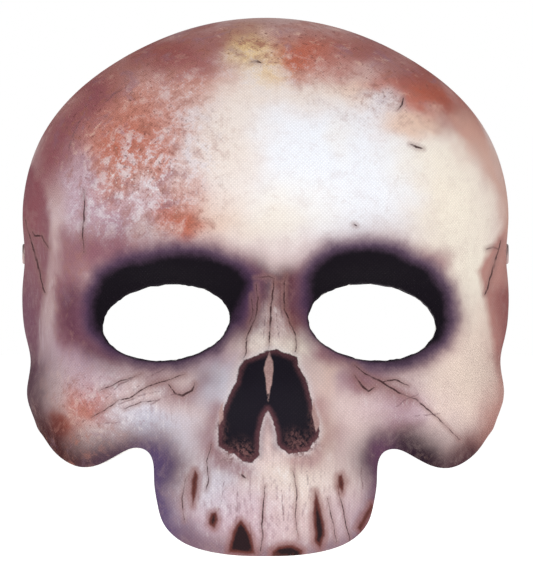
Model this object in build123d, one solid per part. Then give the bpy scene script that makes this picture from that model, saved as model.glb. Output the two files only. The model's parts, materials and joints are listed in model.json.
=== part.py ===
from build123d import *
import math
import os

# Moulded skull half mask: a three-layer shell (printed fabric, foam, lining) with two
# eye openings, and a flat elastic strap that turns on one rivet at each temple.
# Millimetres. X is across the face, -Y is the way the mask looks, +Z is up.
# The origin is midway between the eye openings, on the lining at the bridge of the nose.

# ---- driving dimensions --------------------------------------------------------------
HALF_WIDTH = 86.0           # of the head form at the temples
TEMPLE_Z = 20.0             # level of the widest point above the eye line
CROWN_RISE = 87.0           # crown above the temple level
LOWER_RISE = 155.0          # lower half of the egg, cut off long before its end
HEAD_DEPTH = 54.0           # from the widest section forward to the forehead
REAR_TUCK = 0.35            # how much the wall behind the widest section turns in
SHOULDER = 0.05             # how much the upper corners of the head stand out from the egg

COVER_THICKNESS = 0.6
FOAM_THICKNESS = 2.4
LINING_THICKNESS = 0.5

EYE_SPACING = 71.6
EYE_SHIFT = 1.2             # the openings are punched this far to the right of the middle
EYE_WIDTH = 44.4
EYE_HEIGHT = 26.4
EYE_TILT = 6.0              # degrees, outer corner low

BROW_FORWARD = 5.0
SOCKET_DEPTH = 10.0
NOSE_FORWARD = 27.0
JAW_FORWARD = 17.0
CHEEK_FORWARD = 6.0

CROWN_BEHIND = 4.0          # rim at the crown, behind the widest section
TEMPLE_BEHIND = 11.0        # rim at the temples, behind the widest section
KNIFE_BEHIND = 33.0         # the cutting rays leave this far behind the widest section

STRAP_WIDTH = 10.0
STRAP_THICKNESS = 1.2
STRAP_REACH = 62.0          # how far the bow stands behind the straight legs
STRAP_LEG = 14.0            # straight stretch behind the rivet
STRAP_DROOP = 3.0           # degrees below level at rest
STRAP_TAIL = 8.0            # doubled-over end, each way from the rivet
PLY_GAP = 0.1               # between the two plies of the doubled end
STRAP_STANDOFF = 0.7        # strap to lining at the rivet

RIVET_BEHIND = 3.0          # behind the widest section
RIVET_Z = 24.0
RIVET_DENT = 1.6            # how far the rivet pulls the wall in
POST_RADIUS = 1.5
POST_BORE_RADIUS = 0.9
CAP_RADIUS = 3.6
CAP_THICKNESS = 0.8
ROLLED_END_RADIUS = 2.3
ROLLED_END_THICKNESS = 0.35
WASHER_RADIUS = 4.0
WASHER_THICKNESS = 0.5
SEAT_CLEARANCE = 0.3        # cap to cover, over the slight curve of the wall
PIVOT_CLEARANCE = 0.08      # post to strap and shell, radial
FACE_CLEARANCE = 0.1        # strap to washer

FIT_STEPS = 36              # spaces between surface points, each way
FIT_REACH = 112.0           # degrees off the forward direction that the blank covers
FIT_REACH_DOWN = 92.0
KNIFE_SPANS = 8             # faces that the rim's cut is made of

SHELL_THICKNESS = COVER_THICKNESS + FOAM_THICKNESS + LINING_THICKNESS


# ---- the head form ----------------------------------------------------------------------
def hill(across, up, centre, spread, power=2.0):
    """A smooth bump of height 1 at centre that dies away over spread."""
    squared = ((across - centre[0]) / spread[0]) ** 2 + ((up - centre[1]) / spread[1]) ** 2
    return math.exp(-(squared ** (power / 2)))


def pair(x, z, centre, spread, power=2.0):
    """The same bump on both sides of the face."""
    return hill(x, z, centre, spread, power) + hill(-x, z, centre, spread, power)


def ramp(start, end, value):
    """0 at start, 1 at end, smooth between."""
    share = min(1.0, max(0.0, (value - start) / (end - start)))
    return share * share * (3 - 2 * share)


def nose(x, z):
    """A ridge that widens and rises from the root to the tip, then drops to the lip."""
    rise = ramp(14, -27, z) * (1 - 0.8 * ramp(-22, -54, z))
    width = 10.5 + 9.5 * ramp(8, -30, z)
    return NOSE_FORWARD * rise * math.exp(-((abs(x) / width) ** 2.3))


def upper_jaw(x, z):
    """The rounded tooth-bearing block below the nose."""
    rise = ramp(-28, -58, z) * (1 - 0.12 * ramp(-66, -84, z))
    return JAW_FORWARD * rise * math.exp(-((abs(x) / 36) ** 4))


def forward_relief(x, z):
    """How far the face stands ahead of the plain egg at a point of the front view."""
    half = EYE_SPACING / 2
    return (
        BROW_FORWARD * pair(x, z, (half, 25), (27, 9.5))
        + 2.0 * hill(x, z, (0, 21), (15, 10))
        + 1.5 * pair(x, z, (30, 58), (26, 22))
        + 3.0 * pair(x, z, (66, 2), (8, 20))
        - SOCKET_DEPTH * pair(x, z, (half + 0.5, 1), (27, 18.5), 4)
        + CHEEK_FORWARD * pair(x, z, (54, -27), (19, 10))
        + 3.0 * pair(x, z, (64, -42), (13, 9))
        - 5.0 * pair(x, z, (46, -45), (9, 9))
        + nose(x, z)
        + upper_jaw(x, z)
    )


def lower_share(z):
    """How much taller the lower half of the egg is than the upper half."""
    return CROWN_RISE / LOWER_RISE if z < 0 else 1.0


# The widest section stands so far back that the lining passes through the origin.
BRIDGE_SHARE = TEMPLE_Z / LOWER_RISE
WIDEST_Y = HEAD_DEPTH * math.sqrt(1 - BRIDGE_SHARE**2) + forward_relief(0, 0) - SHELL_THICKNESS
RIVET_Y = WIDEST_Y + RIVET_BEHIND


def side_relief(y, z):
    """How far the temple wall stands out from the plain egg."""
    behind = y - WIDEST_Y
    return (
        -3.2 * hill(behind, z, (-19, 8), (13, 24), 3)
        - 1.6 * hill(behind, z, (-2, -13), (22, 8))
        + 1.8 * hill(behind, z, (-4, -26), (26, 8))
        - RIVET_DENT * hill(behind, z, (RIVET_BEHIND, RIVET_Z), (10, 10))
    )


def widening(turn):
    """Radius of the egg's section per radian of turn away from straight ahead."""
    if turn < 1e-9:
        return 1.0
    if turn > math.pi / 2:
        return (1 - REAR_TUCK * (1 - math.sin(turn))) / turn
    return math.sin(turn) / turn


def shoulder(across, up, turn):
    """How many times wider than the egg the head is towards its upper corners."""
    if up <= 0:
        return 1.0
    side = (across / turn) ** 2
    return 1 + SHOULDER * side * (1 - side) * (1 + 8 * side**2) * math.sin(turn) ** 2


def form(across, up):
    """A point of the outer form, from two angles in radians off straight ahead."""
    turn = math.hypot(across, up * lower_share(up))
    radial = widening(turn) * shoulder(across, up, turn)
    x = HALF_WIDTH * across * radial
    y = WIDEST_Y - HEAD_DEPTH * math.cos(turn)
    z = TEMPLE_Z + CROWN_RISE * up * radial
    height = CROWN_RISE / lower_share(up)
    outward = Vector(
        x / HALF_WIDTH**2, (y - WIDEST_Y) / HEAD_DEPTH**2, (z - TEMPLE_Z) / height**2
    ).normalized()
    facing = ramp(WIDEST_Y + 20, WIDEST_Y - 30, y)
    return (
        Vector(x, y, z)
        - Vector(0, forward_relief(x, z) * facing, 0)
        + outward * side_relief(y, z) * ramp(45, 75, abs(x))
    )


def form_normal(across, up):
    """The outward unit normal of the outer form."""
    step = 1e-3
    along = form(across + step, up) - form(across - step, up)
    above = form(across, up + step) - form(across, up - step)
    return along.cross(above).normalized()


def seen_from_front(x, z):
    """The point of the form ahead of the widest section that appears at x, z."""
    plain_x, plain_z = x, z
    for _ in range(12):
        share = lower_share(plain_z - TEMPLE_Z)
        right = plain_x / HALF_WIDTH
        raised = (plain_z - TEMPLE_Z) / CROWN_RISE
        reach = min(0.9999, math.hypot(right, raised * share))
        stretch = math.asin(reach) / reach
        point = form(right * stretch, raised * stretch)
        plain_x += 0.7 * (x - point.X)
        plain_z += 0.7 * (z - point.Z)
    return point


def seen_from_side(behind, z):
    """The point of the right-hand wall behind the widest section at the level z."""
    turn = math.acos(-behind / HEAD_DEPTH)
    up = (z - TEMPLE_Z) / (CROWN_RISE * widening(turn))
    across = math.sqrt(turn**2 - (up * lower_share(up)) ** 2)
    return form(across, up)


def form_grid():
    """Angle pairs that cover the blank: a square grid pressed into a disc."""
    rows = []
    for i in range(FIT_STEPS + 1):
        u = 2 * i / FIT_STEPS - 1
        row = []
        for j in range(FIT_STEPS + 1):
            v = 2 * j / FIT_STEPS - 1
            side = u * math.sqrt(1 - v * v / 2)
            rise = v * math.sqrt(1 - u * u / 2)
            mean = (FIT_REACH + FIT_REACH_DOWN) / 2
            up = mean * rise + (FIT_REACH - mean) * rise * rise
            row.append((math.radians(FIT_REACH * side), math.radians(up)))
        rows.append(row)
    return rows


GRID = form_grid()


def form_face(depth):
    """The form's surface, moved inwards by depth."""
    rows = [[form(a, u) - form_normal(a, u) * depth for a, u in row] for row in GRID]
    return Face.make_surface_from_array_of_points(rows, tol=0.05, min_deg=8, max_deg=8)


def between(outer, inner):
    """The solid between two faces whose four edges correspond."""
    walls = [Face.make_surface_from_curves(a, b) for a, b in zip(outer.edges(), inner.edges())]
    return Solid(Shell([outer, inner, *walls]))


# ---- the rim and the eye openings ---------------------------------------------------------
# Bottom of the cheek lobe in the front view, outside in (inset from HALF_WIDTH, z).
CHEEK_LOBE = [(5.1, -35.0), (7.6, -39.4), (10.6, -43.6), (15.2, -48.0), (22.0, -50.8), (29.0, -49.6)]
# From the notch beside the upper jaw to the middle of the lower edge (x, z).
NOTCH_AND_JAW = [
    (51.0, -46.4), (45.0, -44.0), (40.8, -45.4), (39.0, -49.6), (38.7, -56.0), (37.7, -62.5),
    (35.9, -69.0), (31.5, -74.4), (24.0, -78.2), (13.0, -80.3), (0.0, -80.8),
]
# Rear edge of the side wall, from the temple to the cheek lobe (behind, z).
REAR_RIM = [(TEMPLE_BEHIND, 20), (TEMPLE_BEHIND - 1, 4), (8, -10), (5, -21), (1, -29)]


def rim_points():
    """The closed rim, from the crown down the right side and up the left."""
    right = []
    for degrees in range(0, 90, 15):
        lean = math.radians(degrees)
        behind = CROWN_BEHIND + (TEMPLE_BEHIND - CROWN_BEHIND) * math.sin(lean) ** 2
        turn = math.acos(-behind / HEAD_DEPTH)
        right.append(form(turn * math.sin(lean), turn * math.cos(lean)))
    right += [seen_from_side(behind, z) for behind, z in REAR_RIM]
    right += [seen_from_front(HALF_WIDTH - inset, z) for inset, z in CHEEK_LOBE]
    right += [seen_from_front(x, z) for x, z in NOTCH_AND_JAW]
    left = [Vector(-p.X, p.Y, p.Z) for p in reversed(right[1:-1])]
    return right + left


def knife():
    """Ruled faces swept by rays from inside the head through the rim."""
    centre = Vector(0, WIDEST_Y + KNIFE_BEHIND, -5)
    points = rim_points()
    near, far = [
        Edge.make_spline([centre + (p - centre) * scale for p in points], periodic=True)
        for scale in (0.6, 1.5)
    ]
    shares = [(i / KNIFE_SPANS, (i + 1) / KNIFE_SPANS) for i in range(KNIFE_SPANS)]
    return Shell(
        [Face.make_surface_from_curves(near.trim(*span), far.trim(*span)) for span in shares]
    )


def eye_cutter(side):
    """A prism through one eye opening, along the line of sight."""
    centre = (side * EYE_SPACING / 2 + EYE_SHIFT, 50, 0)
    front = Plane(origin=centre, x_dir=(1, 0, 0), z_dir=(0, -1, 0))
    outline = Rot(0, 0, -side * EYE_TILT) * Ellipse(EYE_WIDTH / 2, EYE_HEIGHT / 2)
    return extrude(front * outline, amount=100)


def rivet_plane(x, side):
    """A plane across the rivet's axis, x from the middle, looking away from the middle."""
    return Plane(origin=(side * x, RIVET_Y, RIVET_Z), x_dir=(0, side, 0), z_dir=(side, 0, 0))


def disc(radius, start, end, side):
    """A disc round the rivet's axis, from start to end off the middle."""
    return extrude(rivet_plane(start, side) * Circle(radius), amount=end - start)


def cut_layer(outer, inner, blade):
    """One layer of the shell, trimmed to the rim and pierced."""
    halves = between(outer, inner).split(blade, keep=Keep.ALL)
    layer = max(halves, key=lambda piece: piece.area)
    for side in (-1, 1):
        layer = layer - eye_cutter(side)
        layer = layer - disc(POST_RADIUS + PIVOT_CLEARANCE, WALL_INNER - 10, WALL_OUTER + 10, side)
    return layer


# ---- rivets ---------------------------------------------------------------------------------
WALL_OUTER = seen_from_side(RIVET_BEHIND, RIVET_Z).X
WALL_INNER = WALL_OUTER - SHELL_THICKNESS
STRAP_OUTER = WALL_INNER - STRAP_STANDOFF
STRAP_INNER = STRAP_OUTER - 2 * STRAP_THICKNESS - PLY_GAP
WASHER_OUTER = STRAP_INNER - FACE_CLEARANCE
WASHER_INNER = WASHER_OUTER - WASHER_THICKNESS


def rivet(side):
    """A low domed cap outside, a hollow post, and the rolled end inside the washer."""
    seat = WALL_OUTER + SEAT_CLEARANCE
    end = WASHER_INNER - ROLLED_END_THICKNESS
    cap = disc(CAP_RADIUS, seat, seat + CAP_THICKNESS, side)
    top_edge = max(cap.edges().filter_by(GeomType.CIRCLE), key=lambda edge: side * edge.center().X)
    cap = fillet(top_edge, 0.9 * CAP_THICKNESS)
    post = disc(POST_RADIUS, WASHER_INNER, seat, side)
    rolled = disc(ROLLED_END_RADIUS, end, WASHER_INNER, side)
    bore = disc(POST_BORE_RADIUS, end, WALL_INNER, side)
    return cap + post + rolled - bore


def washer(side):
    """The flat ring that holds the strap on the post."""
    ring = disc(WASHER_RADIUS, WASHER_INNER, WASHER_OUTER, side)
    return ring - disc(POST_RADIUS, WASHER_INNER, WASHER_OUTER, side)


# ---- strap ------------------------------------------------------------------------------------
def strap_side(side):
    """Leg, fold and doubled tail of one end, in plan."""
    fold_centre = STRAP_OUTER - STRAP_THICKNESS - PLY_GAP / 2
    start = RIVET_Y - STRAP_TAIL
    leg_length = STRAP_TAIL + STRAP_LEG
    leg_x = STRAP_INNER + STRAP_THICKNESS / 2
    tail_x = STRAP_OUTER - STRAP_THICKNESS / 2
    leg = Pos(side * leg_x, start + leg_length / 2) * Rectangle(STRAP_THICKNESS, leg_length)
    tail = Pos(side * tail_x, RIVET_Y) * Rectangle(STRAP_THICKNESS, 2 * STRAP_TAIL)
    turn = Circle(STRAP_THICKNESS + PLY_GAP / 2) - Circle(PLY_GAP / 2)
    front = Pos(0, -STRAP_THICKNESS) * Rectangle(4 * STRAP_THICKNESS, 2 * STRAP_THICKNESS)
    fold = Pos(side * fold_centre, start) * (turn & front)
    return leg + tail + fold


def strap():
    """One flat band: a bow behind the head between two doubled ends."""
    back = Pos(0, RIVET_Y + STRAP_LEG)
    outer = Ellipse(STRAP_INNER + STRAP_THICKNESS, STRAP_REACH)
    inner = Ellipse(STRAP_INNER, STRAP_REACH - STRAP_THICKNESS)
    behind = Pos(0, STRAP_REACH) * Rectangle(2 * HALF_WIDTH, 2 * STRAP_REACH)
    plan = back * ((outer - inner) & behind) + strap_side(1) + strap_side(-1)
    band = Pos(0, 0, RIVET_Z - STRAP_WIDTH / 2) * extrude(plan, amount=STRAP_WIDTH)
    for side in (-1, 1):
        band = band - disc(POST_RADIUS + PIVOT_CLEARANCE, WASHER_INNER - 10, WALL_OUTER + 10, side)
    return band.rotate(Axis((0, RIVET_Y, RIVET_Z), (1, 0, 0)), -STRAP_DROOP)


# ---- assembly -----------------------------------------------------------------------------------
def layers():
    """The three layers of the shell by name, from the outside in."""
    thicknesses = {
        "printed_skin": COVER_THICKNESS,
        "foam_core": FOAM_THICKNESS,
        "inner_lining": LINING_THICKNESS,
    }
    blade = knife()
    depth = 0.0
    outer = form_face(depth)
    shapes = {}
    for name, thickness in thicknesses.items():
        depth += thickness
        inner = form_face(depth)
        shapes[name] = cut_layer(outer, inner, blade)
        outer = inner
    return shapes


parts = layers()
parts["elastic_strap"] = strap()
for name, side in (("left", -1), ("right", 1)):
    parts[f"{name}_rivet"] = rivet(side)
    parts[f"{name}_rivet_washer"] = washer(side)

os.makedirs("parts", exist_ok=True)
for name, shape in parts.items():
    export_step(shape, f"parts/{name}.step")
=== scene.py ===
import json
import math

import bmesh
import bpy
import numpy as np
from mathutils import Matrix, Vector, noise


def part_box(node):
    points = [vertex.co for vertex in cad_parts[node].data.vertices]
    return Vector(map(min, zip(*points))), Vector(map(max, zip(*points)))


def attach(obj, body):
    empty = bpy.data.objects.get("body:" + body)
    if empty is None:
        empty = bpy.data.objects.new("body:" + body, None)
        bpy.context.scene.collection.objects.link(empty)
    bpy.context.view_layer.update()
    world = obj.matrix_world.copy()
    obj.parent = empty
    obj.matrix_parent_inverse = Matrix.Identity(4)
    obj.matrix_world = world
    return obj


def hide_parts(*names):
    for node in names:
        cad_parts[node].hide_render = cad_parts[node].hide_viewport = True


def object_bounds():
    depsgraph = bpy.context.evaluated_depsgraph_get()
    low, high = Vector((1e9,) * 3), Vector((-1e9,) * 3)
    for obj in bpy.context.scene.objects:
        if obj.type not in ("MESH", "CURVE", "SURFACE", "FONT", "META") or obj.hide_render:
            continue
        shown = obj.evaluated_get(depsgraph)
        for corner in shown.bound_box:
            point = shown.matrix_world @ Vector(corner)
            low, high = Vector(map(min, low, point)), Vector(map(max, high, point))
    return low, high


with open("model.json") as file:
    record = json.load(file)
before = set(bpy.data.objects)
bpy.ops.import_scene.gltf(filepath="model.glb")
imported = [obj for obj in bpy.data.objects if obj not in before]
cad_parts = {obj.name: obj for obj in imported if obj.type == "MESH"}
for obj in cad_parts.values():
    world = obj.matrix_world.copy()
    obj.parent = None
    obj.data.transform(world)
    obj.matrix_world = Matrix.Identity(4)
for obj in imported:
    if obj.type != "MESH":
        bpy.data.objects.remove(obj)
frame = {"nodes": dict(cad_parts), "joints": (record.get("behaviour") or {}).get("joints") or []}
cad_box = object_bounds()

# ---- Camera, floor and light ------------------------------------------------------------
# The mask is looked at straight on through a long lens, over a white studio floor.
# The light is broad and soft, with more of it from above and in front.
mm = 0.001
low, high = cad_box
rivet_axis = Vector(frame["joints"][0]["pos_m"])
camera_height = 10.8 * mm
camera_distance = 4.0
picture_height = 205.0 * mm

camera_data = bpy.data.cameras.new("camera")
camera_data.sensor_fit = "VERTICAL"
camera_data.sensor_height = 24 * mm * 1000
camera_data.lens = camera_data.sensor_height * camera_distance / picture_height
camera = bpy.data.objects.new("camera", camera_data)
camera.location = (0.35 * mm, rivet_axis.y - camera_distance, camera_height)
camera.rotation_euler = (math.radians(90), 0, 0)
bpy.context.scene.collection.objects.link(camera)
bpy.context.scene.camera = camera
bpy.context.scene.view_settings.view_transform = "Standard"


def new_object(name, bm):
    """A mesh object from a bmesh, with smooth faces."""
    mesh = bpy.data.meshes.new(name)
    bm.to_mesh(mesh)
    bm.free()
    for face in mesh.polygons:
        face.use_smooth = True
    made = bpy.data.objects.new(name, mesh)
    bpy.context.scene.collection.objects.link(made)
    return made


def new_material(name, roughness):
    """A material with its Principled shader and the tree that feeds it."""
    material = bpy.data.materials.new(name)
    material.use_nodes = True
    shader = material.node_tree.nodes["Principled BSDF"]
    shader.inputs["Roughness"].default_value = roughness
    return material, material.node_tree, shader


floor = bmesh.new()
bmesh.ops.create_grid(floor, x_segments=2, y_segments=2, size=12.0, matrix=Matrix.Translation((0, 0, low.z)))
floor = new_object("studio_floor", floor)
floor_material, floor_tree, floor_shader = new_material("studio_white", 0.9)
floor_shader.inputs["Base Color"].default_value = (0.9, 0.9, 0.9, 1)
floor_shader.inputs["Emission Color"].default_value = (1, 1, 1, 1)
floor_shader.inputs["Emission Strength"].default_value = 0.8
floor.data.materials.append(floor_material)

# The studio behind is plain white, and gives only a little of the light.
world = bpy.data.worlds.new("studio")
world.use_nodes = True
studio = world.node_tree
studio.nodes["Background"].inputs["Strength"].default_value = 0.26
backdrop = studio.nodes.new("ShaderNodeBackground")
backdrop.inputs["Strength"].default_value = 1.0
ray = studio.nodes.new("ShaderNodeLightPath")
either = studio.nodes.new("ShaderNodeMixShader")
for tone_node in (studio.nodes["Background"], backdrop):
    tone_node.inputs["Color"].default_value = (1, 1, 1, 1)
studio.links.new(ray.outputs["Is Camera Ray"], either.inputs[0])
studio.links.new(studio.nodes["Background"].outputs[0], either.inputs[1])
studio.links.new(backdrop.outputs[0], either.inputs[2])
studio.links.new(either.outputs[0], studio.nodes["World Output"].inputs["Surface"])
bpy.context.scene.world = world


def lamp(name, place, size, power):
    """A square soft light aimed at the middle of the mask."""
    data = bpy.data.lights.new(name, "AREA")
    data.size = size
    data.energy = power
    light = bpy.data.objects.new(name, data)
    light.location = place
    light.rotation_euler = (-Vector(place)).to_track_quat("-Z", "Y").to_euler()
    light.visible_camera = False
    bpy.context.scene.collection.objects.link(light)


lamp("key_light", (-0.3, -1.7, 1.2), 0.7, 12)
lamp("top_light", (0.1, -0.7, 1.7), 0.8, 9)
lamp("fill_light", (1.1, -1.5, 0.1), 0.9, 2.5)
lamp("back_light", (0.2, 1.1, 1.3), 1.0, 3)

# ---- Printed skin -------------------------------------------------------------------------
# Plain-woven polyester, printed with the skull and moulded on the foam under heat.
# The drawing comes first, in millimetres of the front view; the cloth mesh is then refined
# along its lines, and the distances and tones that the material needs are stored on it.
eye_spacing, eye_shift, eye_tilt = 71.6, 1.2, math.radians(6)
eye_half_width, eye_half_height = 22.2, 13.2
knife_origin = Vector((0, rivet_axis.y + 30 * mm, -5 * mm))

# Cracks and sutures: half width, then the points.
cracks = (
    (0.30, [(2.6, 15.2), (1.9, 9.0), (1.4, 5.6), (1.1, -4.2), (0.4, -9.9)]),
    (0.22, [(-4.2, 15.5), (0.5, 16.1), (2.8, 15.5)]),
    (0.26, [(-3.7, 13.4), (-3.2, 8.1), (-4.0, 1.1), (-6.7, -3.9), (-7.5, -7.0), (-7.2, -10.2), (-8.4, -12.7)]),
    (0.28, [(6.7, 16.5), (5.9, 11.6), (6.2, 4.4), (8.3, -0.6), (10.0, -4.2), (10.5, -7.6), (10.0, -10.6)]),
    (0.20, [(-5.4, 9.8), (-5.0, 4.0), (-6.2, -1.0)]),
    (0.26, [(-64.5, 46.8), (-64.2, 39.0), (-64.9, 31.0), (-64.4, 24.5)]),
    (0.34, [(50.3, 62.5), (52.4, 61.6), (55.0, 61.0)]),
    (0.26, [(47.9, 79.0), (47.4, 76.5), (46.0, 75.0)]),
    (0.40, [(-5.6, 91.4), (-3.6, 91.8), (-2.0, 91.2)]),
    (0.24, [(30.4, 34.6), (31.6, 33.8)]),
    (0.22, [(-61.6, -33.5), (-56.3, -30.3), (-52.0, -27.5), (-48.2, -26.4), (-42.0, -22.6), (-35.5, -20.4), (-29.0, -18.3)]),
    (0.18, [(-58.6, -23.8), (-51.0, -20.6), (-44.2, -18.2)]),
    (0.16, [(-50.4, -30.6), (-44.0, -28.0), (-38.5, -27.4)]),
    (0.34, [(-34.5, -21.8), (-32.2, -25.2), (-29.4, -25.8), (-26.4, -24.0), (-25.4, -21.4)]),
    (0.26, [(30.6, -14.8), (34.8, -18.4), (40.1, -20.8), (46.0, -24.6), (52.4, -27.1), (60.0, -33.5), (67.6, -41.2)]),
    (0.34, [(31.0, -18.6), (33.2, -22.4), (35.6, -24.2), (38.2, -22.8)]),
    (0.20, [(40.0, -21.0), (45.0, -20.2), (50.0, -22.4)]),
    (0.24, [(-85.0, 36.0), (-83.8, 31.3), (-81.3, 23.2), (-79.6, 16.2), (-78.1, 10.2)]),
    (0.30, [(-82.5, 32.0), (-81.6, 30.3), (-79.3, 30.3), (-76.8, 26.0)]),
    (0.24, [(82.4, 28.9), (81.3, 25.0), (79.6, 19.0), (76.7, 9.5)]),
    (0.28, [(77.2, 25.7), (79.5, 26.4), (81.5, 25.3)]),
    (0.18, [(-19.5, -43.0), (-21.2, -49.0), (-20.4, -54.6), (-21.4, -59.0)]),
    (0.30, [(-9.0, -53.6), (-7.4, -54.8)]),
    (0.26, [(-0.7, -57.6), (-1.2, -64.0), (-1.7, -71.0), (-1.5, -76.0), (-2.2, -80.6)]),
    (0.20, [(24.6, -57.0), (26.8, -66.0), (29.2, -77.4)]),
    (0.16, [(21.2, -62.0), (23.2, -70.0), (24.4, -77.0)]),
    (0.16, [(-28.4, -54.0), (-29.8, -62.0), (-29.0, -70.0)]),
    (0.16, [(9.2, -52.0), (10.6, -60.0), (10.0, -68.0), (11.2, -76.0)]),
)
eyelash_cracks = [
    (0.12, [(x, z), (x + 0.45 * run, z + 0.6 * rise), (x + run, z + rise)])
    for x, z, run, rise in (
        (-57, -27, 11, 8), (-52, -29, 15, 5), (-47, -24, 12, 8), (-60, -36, 9, 1), (-41, -29, 9, 4),
        (-15, -56, -2, -10), (-10, -58, -1, -13), (5, -56, 1, -15), (14, -52, 1, -8), (33, -50, 1, -9),
        (45, -30, 9, 5), (52, -33, 11, 1), (-1, 13, 0, -9), (4.4, 14, 1, -13), (-0.6, 2, -0.8, -8),
        (3.4, 3, 1, -9), (-70, 60, 5, 12), (-58, 76, 9, 7), (-26, 33, 4, -4), (-6, -70, 1, -8),
    )
]

# Closed shapes, each listed once round.
nasal_hole = [
    (0.6, -10.0), (-4.0, -12.0), (-7.9, -13.4), (-9.8, -16.6), (-10.6, -21.0), (-13.4, -26.0), (-15.2, -31.0),
    (-17.0, -37.0), (-17.0, -43.3), (-14.2, -45.2), (-11.0, -46.5), (-8.2, -49.0), (-5.2, -49.3), (-2.8, -46.5),
    (-2.8, -41.2), (-1.6, -33.8), (0.4, -30.6), (2.2, -34.4), (3.2, -38.7), (3.8, -43.3), (7.7, -46.1),
    (14.1, -45.4), (18.0, -40.1), (18.2, -36.3), (16.0, -29.2), (14.1, -21.5), (10.9, -15.1), (10.6, -12.4),
    (6.4, -11.0), (3.2, -9.8),
]
septum = (
    [(0.8, -10.6), (2.1, -13.5), (2.4, -16.5), (1.5, -22.0), (0.4, -28.2), (-0.4, -22.0), (-0.9, -16.5), (-0.3, -13.5)],
    [(-15.4, -28.0), (-15.4, -34.0), (-16.6, -36.0), (-17.2, -31.0)],
    [(16.4, -27.0), (18.7, -36.0), (17.2, -38.4), (15.9, -33.0)],
)
jaw_holes = (
    [(-25.4, -52.0), (-24.2, -53.4), (-24.6, -59.0), (-26.0, -64.6), (-26.8, -60.0), (-26.4, -55.0)],
    [(-19.9, -67.0), (-17.8, -66.6), (-17.2, -69.6), (-18.4, -72.4), (-20.5, -70.8)],
    [(-9.3, -69.4), (-7.0, -71.6), (-5.0, -76.0), (-4.2, -81.6), (-13.6, -81.0), (-12.8, -76.5), (-11.4, -72.0)],
    [(1.6, -80.4), (4.2, -78.6), (9.4, -78.2), (12.6, -80.2), (12.4, -83.0), (1.6, -83.0)],
    [(17.0, -59.2), (18.2, -63.0), (20.2, -70.0), (20.5, -75.0), (18.8, -79.6), (16.6, -77.0), (16.2, -70.0), (16.4, -63.0)],
    [(25.0, -54.0), (26.4, -53.4), (27.4, -56.6), (26.6, -60.0), (25.0, -58.0)],
    [(36.6, -63.6), (37.8, -65.0), (33.0, -73.6), (31.6, -72.4)],
)
sockets = (
    [
        (-65.0, 2.5), (-64.4, 9.0), (-60.0, 18.0), (-53.0, 23.4), (-42.6, 26.2), (-31.3, 27.6), (-18.1, 26.0),
        (-8.6, 22.5), (-3.0, 16.4), (-5.4, 8.1), (-8.9, -1.3), (-17.4, -10.6), (-31.0, -16.2), (-46.3, -15.8),
        (-57.2, -10.0), (-63.2, -3.8),
    ],
    [
        (12.0, 16.2), (15.4, 23.5), (23.4, 28.0), (34.7, 29.4), (45.9, 27.4), (57.2, 22.2), (64.6, 12.4),
        (67.2, 0.7), (63.8, -9.2), (50.4, -16.4), (36.6, -16.8), (23.8, -12.4), (15.0, -4.4), (11.6, 6.3),
    ],
)
temples = (
    [(-90, 66), (-82, 54), (-78, 46), (-76.2, 36), (-76, 26), (-77.3, 13.4), (-79.8, 1.4), (-81.2, -16.5), (-90, -22)],
    [(90, 50), (86.4, 43), (83.5, 34), (78.0, 25), (74.3, 18), (76.8, 8.1), (79.9, -9.5), (82.5, -21.8), (90, -25)],
)


def hypotenuse_to(points, x, z):
    """Distance to a line through the points, and where along it, 0 to 1."""
    best, along = np.full(len(x), 1e3), np.zeros(len(x))
    count = len(points) - 1
    for step, ((ax, az), (bx, bz)) in enumerate(zip(points, points[1:])):
        dx, dz = bx - ax, bz - az
        share = np.clip(((x - ax) * dx + (z - az) * dz) / (dx * dx + dz * dz), 0, 1)
        gap = np.hypot(x - ax - share * dx, z - az - share * dz)
        along = np.where(gap < best, (step + share) / count, along)
        best = np.minimum(gap, best)
    return best, along


def depth_in_line(half_width, points, x, z):
    """Distance inside a tapering line, below 0 outside it."""
    gap, along = hypotenuse_to(points, x, z)
    return half_width * (0.4 + 0.6 * np.sin(math.pi * along)) - gap


def depth_in_shape(points, x, z):
    """Distance inside a closed shape, below 0 outside it."""
    gap, _ = hypotenuse_to(points + points[:1], x, z)
    odd = np.zeros(len(x), bool)
    for (ax, az), (bx, bz) in zip(points, points[1:] + points[:1]):
        crosses = (az > z) != (bz > z)
        odd ^= crosses & (x < (bx - ax) * (z - az) / (bz - az + 1e-9) + ax)
    return np.where(odd, gap, -gap)


def deepest_line(lines, x, z):
    return np.max([depth_in_line(width, points, x, z) for width, points in lines], axis=0)


def deepest_shape(shapes, x, z):
    return np.max([depth_in_shape(points, x, z) for points in shapes], axis=0)


def eye_gap(x, z):
    """Distance outside the nearer eye opening."""
    side = np.where(x > eye_shift, 1, -1)
    right = side * (x - eye_shift) - eye_spacing / 2
    across = right * math.cos(eye_tilt) - z * math.sin(eye_tilt)
    above = right * math.sin(eye_tilt) + z * math.cos(eye_tilt)
    ratio = np.hypot(across / eye_half_width, above / eye_half_height)
    return (ratio - 1) * np.hypot(across, above) / np.maximum(ratio, 0.2)


def front_view(points):
    """Where points of the cloth appear in the drawing, in millimetres."""
    x, y, z = (np.array(points).reshape(-1, 3) / mm).T
    nearer = 1 + (rivet_axis.y - y * mm) / camera_distance
    middle = camera_height / mm
    return x * nearer - 0.5, middle + (z - middle) * nearer


def facing(face):
    """Above 0 on the printed side, near 0 on the cut edges, below 0 on the glued side."""
    centre = face.calc_center_median()
    if abs(face.normal.y) < 0.02 and abs(eye_gap(centre.x / mm, centre.z / mm)) < 0.6:
        return 0.0
    return face.normal.dot((centre - knife_origin).normalized())


cloth = bmesh.new()
cloth.from_mesh(frame["nodes"]["printed_skin"].data)
bmesh.ops.remove_doubles(cloth, verts=cloth.verts, dist=0.001 * mm)


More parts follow.
